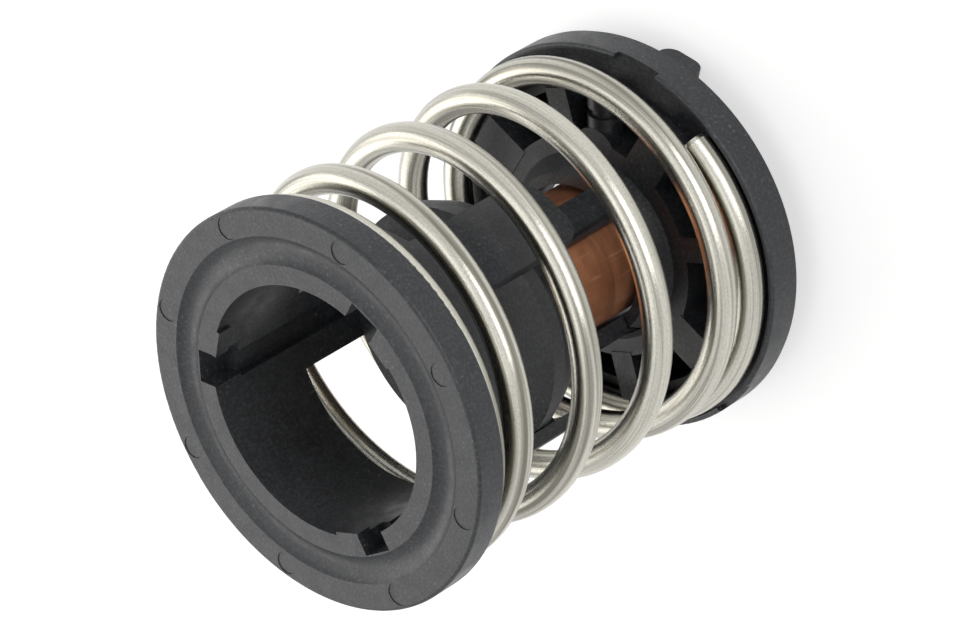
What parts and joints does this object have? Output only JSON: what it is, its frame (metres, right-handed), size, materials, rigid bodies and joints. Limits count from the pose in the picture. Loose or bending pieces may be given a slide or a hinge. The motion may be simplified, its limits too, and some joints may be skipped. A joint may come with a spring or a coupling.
{
  "type": "engine thermostat",
  "caption": "Cartridge thermostat for an engine's coolant circuit: a sleeve valve on a copper wax capsule slides towards a spoked rear ring against a coil spring.",
  "frame": {"origin": "on the axis, in the plane that the three rear feet stand on", "axes": "+Z along the axis towards the front flange; the camera of the picture is on the -Y side"},
  "size_m": [0.05, 0.05, 0.0619],
  "materials": {
    "black_moulding": "matte, glass-filled",
    "spring_steel": "bright drawn wire",
    "copper": "satin drawn copper",
    "turned_brass": "turned",
    "pin_steel": "ground and polished",
    "boot_rubber": "matte",
    "washer_plastic": "slippery white",
    "wax": "waxy, filled with copper powder"
  },
  "bodies": {
    "holder": {"rear_ring": "black_moulding", "coil_spring": "spring_steel"},
    "valve": {"valve_sleeve": "black_moulding", "capsule_carrier": "black_moulding", "capsule_cup": "copper", "guide_bush": "turned_brass", "support_washer": "washer_plastic", "squeeze_boot": "boot_rubber", "wax_charge": "wax"},
    "pin": {"piston_pin": "pin_steel"}
  },
  "joints": [
    {"name": "valve_travel", "type": "slide", "parent": "holder", "child": "valve", "axis": [0, 0, -1], "range_m": [0, 0.008], "stiffness_N_per_m": 2100, "springref_m": -0.02, "deforming": ["coil_spring"]},
    {"name": "pin_stroke", "type": "slide", "parent": "valve", "child": "pin", "axis": [0, 0, 1], "range_m": [0, 0.008]}
  ],
  "couplings": [
    {"joint": "pin_stroke", "follows": "valve_travel", "ratio": 1}
  ]
}
